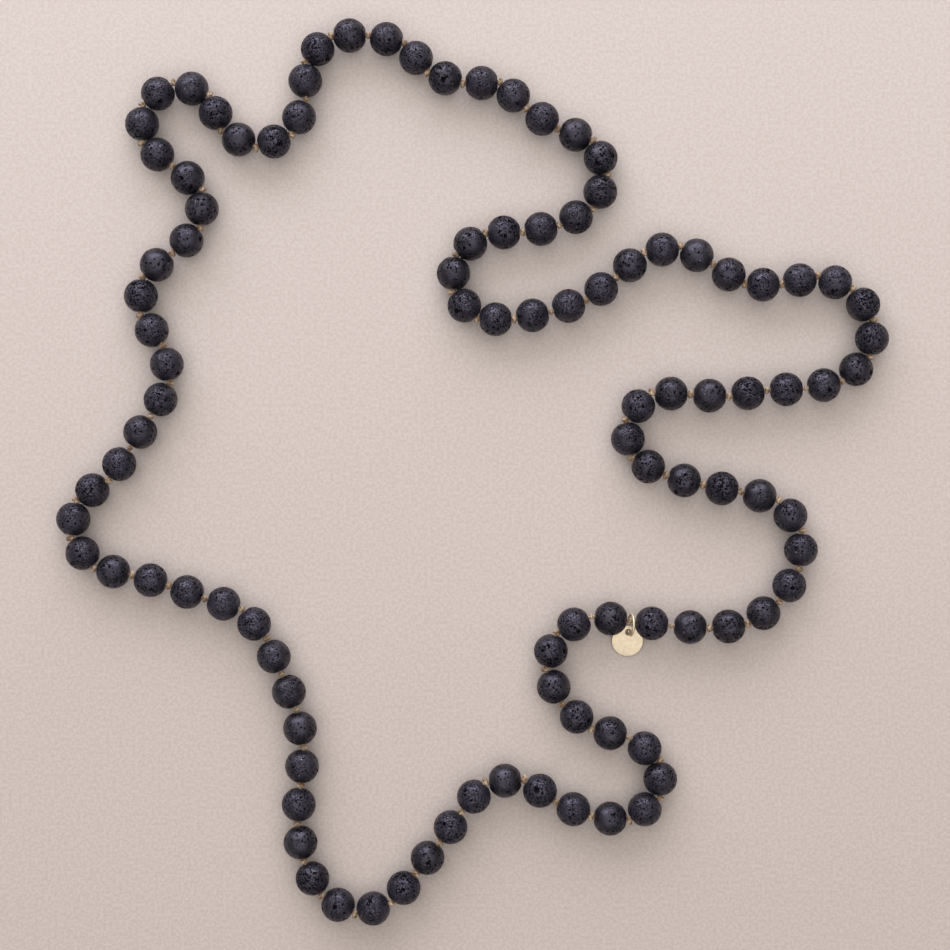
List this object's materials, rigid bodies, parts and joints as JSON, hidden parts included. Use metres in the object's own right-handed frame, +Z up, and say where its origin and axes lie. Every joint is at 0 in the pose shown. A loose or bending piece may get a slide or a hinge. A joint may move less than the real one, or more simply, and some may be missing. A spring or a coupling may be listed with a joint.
{
  "type": "mala prayer beads",
  "caption": "Loop of round dark lava stone beads knotted onto a thin cord, with a small round gold tag on a jump ring between two of the beads.",
  "frame": {"origin": "middle of the loop's outline, on the flat surface that the beads lie on", "axes": "+Z up from the surface, +Y along the longer way across the loop and away from the tag, +X to the right of it"},
  "size_m": [0.1958, 0.2132, 0.008],
  "materials": {
    "stone": "matte, full of small pits",
    "strand": "matte stone beads on a tan cord with small knots",
    "gold": "pale gold, finely brushed"
  },
  "bodies": {
    "strand_a": {"strand_a": "strand"},
    "strand_b": {"strand_b": "strand"},
    "strand_c": {"strand_c": "strand"},
    "strand_d": {"strand_d": "strand"},
    "jump_ring": {"jump_ring": "gold"},
    "tag": {"tag": "gold"},
    "bead_002": {"bead_002": "stone"},
    "bead_004": {"bead_004": "stone"},
    "bead_006": {"bead_006": "stone"},
    "bead_008": {"bead_008": "stone"},
    "bead_010": {"bead_010": "stone"},
    "bead_012": {"bead_012": "stone"},
    "bead_014": {"bead_014": "stone"},
    "bead_016": {"bead_016": "stone"},
    "bead_018": {"bead_018": "stone"},
    "bead_020": {"bead_020": "stone"},
    "bead_022": {"bead_022": "stone"},
    "bead_024": {"bead_024": "stone"},
    "bead_026": {"bead_026": "stone"},
    "bead_028": {"bead_028": "stone"},
    "bead_030": {"bead_030": "stone"},
    "bead_032": {"bead_032": "stone"},
    "bead_034": {"bead_034": "stone"},
    "bead_036": {"bead_036": "stone"},
    "bead_038": {"bead_038": "stone"},
    "bead_040": {"bead_040": "stone"},
    "bead_042": {"bead_042": "stone"},
    "bead_044": {"bead_044": "stone"},
    "bead_046": {"bead_046": "stone"},
    "bead_048": {"bead_048": "stone"},
    "bead_050": {"bead_050": "stone"},
    "bead_052": {"bead_052": "stone"},
    "bead_054": {"bead_054": "stone"},
    "bead_056": {"bead_056": "stone"},
    "bead_058": {"bead_058": "stone"},
    "bead_060": {"bead_060": "stone"},
    "bead_062": {"bead_062": "stone"},
    "bead_064": {"bead_064": "stone"},
    "bead_066": {"bead_066": "stone"},
    "bead_068": {"bead_068": "stone"},
    "bead_070": {"bead_070": "stone"},
    "bead_072": {"bead_072": "stone"},
    "bead_074": {"bead_074": "stone"},
    "bead_076": {"bead_076": "stone"},
    "bead_078": {"bead_078": "stone"},
    "bead_080": {"bead_080": "stone"},
    "bead_082": {"bead_082": "stone"},
    "bead_084": {"bead_084": "stone"},
    "bead_086": {"bead_086": "stone"},
    "bead_088": {"bead_088": "stone"},
    "bead_090": {"bead_090": "stone"},
    "bead_092": {"bead_092": "stone"},
    "bead_094": {"bead_094": "stone"},
    "bead_096": {"bead_096": "stone"},
    "bead_098": {"bead_098": "stone"},
    "bead_100": {"bead_100": "stone"},
    "bead_102": {"bead_102": "stone"}
  },
  "joints": [
    {"name": "corner_ab", "type": "hinge", "parent": "strand_a", "child": "strand_b", "pos_m": [0.0783, 0.0196, 0.004], "axis": [0, 0, 1], "range_deg": [-25, 25]},
    {"name": "corner_bc", "type": "hinge", "parent": "strand_b", "child": "strand_c", "pos_m": [-0.0392, 0.0876, 0.004], "axis": [0, 0, 1], "range_deg": [-25, 25]},
    {"name": "corner_da", "type": "hinge", "parent": "strand_a", "child": "strand_d", "pos_m": [0.0368, -0.0624, 0.004], "axis": [0, 0, 1], "range_deg": [-25, 25]},
    {"name": "ring_swing", "type": "hinge", "parent": "strand_a", "child": "jump_ring", "pos_m": [0.0373, -0.03509, 0.004], "axis": [0.9935, -0.1142, 0], "continuous": true},
    {"name": "tag_swing", "type": "hinge", "parent": "jump_ring", "child": "tag", "pos_m": [0.03685, -0.03791, 0.00101], "axis": [0.9935, -0.1142, 0], "range_deg": [-3, 60]},
    {"name": "bead_002_spin", "type": "hinge", "parent": "strand_a", "child": "bead_002", "pos_m": [0.02446, -0.05763, 0.004], "axis": [-0.7598, 0.6502, 0], "continuous": true},
    {"name": "bead_004_spin", "type": "hinge", "parent": "strand_a", "child": "bead_004", "pos_m": [0.0184, -0.04213, 0.004], "axis": [0.2849, 0.9585, 0], "continuous": true},
    {"name": "bead_006_spin", "type": "hinge", "parent": "strand_a", "child": "bead_006", "pos_m": [0.03247, -0.03454, 0.004], "axis": [0.9935, -0.1142, 0], "continuous": true},
    {"name": "bead_008_spin", "type": "hinge", "parent": "strand_a", "child": "bead_008", "pos_m": [0.05116, -0.03653, 0.004], "axis": [0.9968, -0.0794, 0], "continuous": true},
    {"name": "bead_010_spin", "type": "hinge", "parent": "strand_a", "child": "bead_010", "pos_m": [0.06841, -0.03324, 0.004], "axis": [0.8147, 0.5799, 0], "continuous": true},
    {"name": "bead_012_spin", "type": "hinge", "parent": "strand_a", "child": "bead_012", "pos_m": [0.07722, -0.01834, 0.004], "axis": [0.0794, 0.9968, 0], "continuous": true},
    {"name": "bead_014_spin", "type": "hinge", "parent": "strand_a", "child": "bead_014", "pos_m": [0.06752, -0.00564, 0.004], "axis": [-0.9721, 0.2344, 0], "continuous": true},
    {"name": "bead_016_spin", "type": "hinge", "parent": "strand_a", "child": "bead_016", "pos_m": [0.04976, -0.00201, 0.004], "axis": [-0.9634, 0.2682, 0], "continuous": true},
    {"name": "bead_018_spin", "type": "hinge", "parent": "strand_a", "child": "bead_018", "pos_m": [0.03652, 0.00774, 0.004], "axis": [-0.1641, 0.9864, 0], "continuous": true},
    {"name": "bead_020_spin", "type": "hinge", "parent": "strand_a", "child": "bead_020", "pos_m": [0.04667, 0.01841, 0.004], "axis": [0.9981, -0.062, 0], "continuous": true},
    {"name": "bead_022_spin", "type": "hinge", "parent": "strand_a", "child": "bead_022", "pos_m": [0.06475, 0.01847, 0.004], "axis": [0.9864, 0.1641, 0], "continuous": true},
    {"name": "bead_024_spin", "type": "hinge", "parent": "strand_b", "child": "bead_024", "pos_m": [0.08261, 0.0204, 0.004], "axis": [0.9832, 0.1826, 0], "continuous": true},
    {"name": "bead_026_spin", "type": "hinge", "parent": "strand_b", "child": "bead_026", "pos_m": [0.09391, 0.03138, 0.004], "axis": [0.0955, 0.9954, 0], "continuous": true},
    {"name": "bead_028_spin", "type": "hinge", "parent": "strand_b", "child": "bead_028", "pos_m": [0.08528, 0.04458, 0.004], "axis": [-0.9306, 0.3661, 0], "continuous": true},
    {"name": "bead_030_spin", "type": "hinge", "parent": "strand_b", "child": "bead_030", "pos_m": [0.06832, 0.04403, 0.004], "axis": [-1, 0.0083, 0], "continuous": true},
    {"name": "bead_032_spin", "type": "hinge", "parent": "strand_b", "child": "bead_032", "pos_m": [0.05271, 0.05093, 0.004], "axis": [-0.8705, 0.4921, 0], "continuous": true},
    {"name": "bead_034_spin", "type": "hinge", "parent": "strand_b", "child": "bead_034", "pos_m": [0.03698, 0.04858, 0.004], "axis": [-0.7487, -0.6629, 0], "continuous": true},
    {"name": "bead_036_spin", "type": "hinge", "parent": "strand_b", "child": "bead_036", "pos_m": [0.02256, 0.03901, 0.004], "axis": [-0.9536, -0.3011, 0], "continuous": true},
    {"name": "bead_038_spin", "type": "hinge", "parent": "strand_b", "child": "bead_038", "pos_m": [0.0054, 0.0359, 0.004], "axis": [-1, -0.0091, 0], "continuous": true},
    {"name": "bead_040_spin", "type": "hinge", "parent": "strand_b", "child": "bead_040", "pos_m": [-0.0045, 0.04669, 0.004], "axis": [0.0955, 0.9954, 0], "continuous": true},
    {"name": "bead_042_spin", "type": "hinge", "parent": "strand_b", "child": "bead_042", "pos_m": [0.00736, 0.05631, 0.004], "axis": [1, 0.0091, 0], "continuous": true},
    {"name": "bead_044_spin", "type": "hinge", "parent": "strand_b", "child": "bead_044", "pos_m": [0.02429, 0.05992, 0.004], "axis": [0.8948, 0.4465, 0], "continuous": true},
    {"name": "bead_046_spin", "type": "hinge", "parent": "strand_b", "child": "bead_046", "pos_m": [0.0301, 0.07388, 0.004], "axis": [-0.3991, 0.9169, 0], "continuous": true},
    {"name": "bead_048_spin", "type": "hinge", "parent": "strand_b", "child": "bead_048", "pos_m": [0.01633, 0.08304, 0.004], "axis": [-0.8436, 0.537, 0], "continuous": true},
    {"name": "bead_050_spin", "type": "hinge", "parent": "strand_b", "child": "bead_050", "pos_m": [0.0021, 0.09145, 0.004], "axis": [-0.999, -0.044, 0], "continuous": true},
    {"name": "bead_052_spin", "type": "hinge", "parent": "strand_b", "child": "bead_052", "pos_m": [-0.01333, 0.09737, 0.004], "axis": [-0.6091, 0.7931, 0], "continuous": true},
    {"name": "bead_054_spin", "type": "hinge", "parent": "strand_b", "child": "bead_054", "pos_m": [-0.02895, 0.10263, 0.004], "axis": [-0.9996, -0.0266, 0], "continuous": true},
    {"name": "bead_056_spin", "type": "hinge", "parent": "strand_b", "child": "bead_056", "pos_m": [-0.03939, 0.09198, 0.004], "axis": [0.044, -0.999, 0], "continuous": true},
    {"name": "bead_058_spin", "type": "hinge", "parent": "strand_c", "child": "bead_058", "pos_m": [-0.04676, 0.07772, 0.004], "axis": [-0.943, -0.3329, 0], "continuous": true},
    {"name": "bead_060_spin", "type": "hinge", "parent": "strand_c", "child": "bead_060", "pos_m": [-0.06049, 0.0844, 0.004], "axis": [-0.2998, 0.954, 0], "continuous": true},
    {"name": "bead_062_spin", "type": "hinge", "parent": "strand_c", "child": "bead_062", "pos_m": [-0.07406, 0.08896, 0.004], "axis": [-0.8147, -0.5799, 0], "continuous": true},
    {"name": "bead_064_spin", "type": "hinge", "parent": "strand_c", "child": "bead_064", "pos_m": [-0.0742, 0.07465, 0.004], "axis": [0.8033, -0.5956, 0], "continuous": true},
    {"name": "bead_066_spin", "type": "hinge", "parent": "strand_c", "child": "bead_066", "pos_m": [-0.06373, 0.06185, 0.004], "axis": [-0.0446, -0.999, 0], "continuous": true},
    {"name": "bead_068_spin", "type": "hinge", "parent": "strand_c", "child": "bead_068", "pos_m": [-0.07432, 0.0487, 0.004], "axis": [-0.7832, -0.6218, 0], "continuous": true},
    {"name": "bead_070_spin", "type": "hinge", "parent": "strand_c", "child": "bead_070", "pos_m": [-0.07551, 0.03331, 0.004], "axis": [0.608, -0.7939, 0], "continuous": true},
    {"name": "bead_072_spin", "type": "hinge", "parent": "strand_c", "child": "bead_072", "pos_m": [-0.07343, 0.01699, 0.004], "axis": [-0.5084, -0.8611, 0], "continuous": true},
    {"name": "bead_074_spin", "type": "hinge", "parent": "strand_d", "child": "bead_074", "pos_m": [-0.08315, 0.00181, 0.004], "axis": [-0.5435, -0.8394, 0], "continuous": true},
    {"name": "bead_076_spin", "type": "hinge", "parent": "strand_d", "child": "bead_076", "pos_m": [-0.09396, -0.01111, 0.004], "axis": [-0.1378, -0.9905, 0], "continuous": true},
    {"name": "bead_078_spin", "type": "hinge", "parent": "strand_d", "child": "bead_078", "pos_m": [-0.08457, -0.02347, 0.004], "axis": [0.985, -0.1723, 0], "continuous": true},
    {"name": "bead_080_spin", "type": "hinge", "parent": "strand_d", "child": "bead_080", "pos_m": [-0.06719, -0.02826, 0.004], "axis": [0.9402, -0.3407, 0], "continuous": true},
    {"name": "bead_082_spin", "type": "hinge", "parent": "strand_d", "child": "bead_082", "pos_m": [-0.05142, -0.03578, 0.004], "axis": [0.6304, -0.7763, 0], "continuous": true},
    {"name": "bead_084_spin", "type": "hinge", "parent": "strand_d", "child": "bead_084", "pos_m": [-0.04326, -0.05175, 0.004], "axis": [0.392, -0.92, 0], "continuous": true},
    {"name": "bead_086_spin", "type": "hinge", "parent": "strand_d", "child": "bead_086", "pos_m": [-0.04015, -0.06926, 0.004], "axis": [-0.0858, -0.9963, 0], "continuous": true},
    {"name": "bead_088_spin", "type": "hinge", "parent": "strand_d", "child": "bead_088", "pos_m": [-0.04052, -0.0872, 0.004], "axis": [0.175, -0.9846, 0], "continuous": true},
    {"name": "bead_090_spin", "type": "hinge", "parent": "strand_d", "child": "bead_090", "pos_m": [-0.03167, -0.10187, 0.004], "axis": [0.8753, -0.4836, 0], "continuous": true},
    {"name": "bead_092_spin", "type": "hinge", "parent": "strand_d", "child": "bead_092", "pos_m": [-0.01625, -0.09789, 0.004], "axis": [0.6282, 0.778, 0], "continuous": true},
    {"name": "bead_094_spin", "type": "hinge", "parent": "strand_d", "child": "bead_094", "pos_m": [-0.00521, -0.08359, 0.004], "axis": [0.5867, 0.8098, 0], "continuous": true},
    {"name": "bead_096_spin", "type": "hinge", "parent": "strand_d", "child": "bead_096", "pos_m": [0.00762, -0.07267, 0.004], "axis": [0.9986, 0.0537, 0], "continuous": true},
    {"name": "bead_098_spin", "type": "hinge", "parent": "strand_d", "child": "bead_098", "pos_m": [0.02369, -0.07935, 0.004], "axis": [0.921, -0.3895, 0], "continuous": true},
    {"name": "bead_100_spin", "type": "hinge", "parent": "strand_d", "child": "bead_100", "pos_m": [0.04048, -0.07938, 0.004], "axis": [0.8082, 0.5889, 0], "continuous": true},
    {"name": "bead_102_spin", "type": "hinge", "parent": "strand_d", "child": "bead_102", "pos_m": [0.04046, -0.06505, 0.004], "axis": [-0.8098, 0.5867, 0], "continuous": true}
  ],
  "couplings": [
    {"joint": "corner_bc", "follows": "corner_ab", "ratio": -1},
    {"joint": "corner_da", "follows": "corner_ab", "ratio": 1}
  ]
}
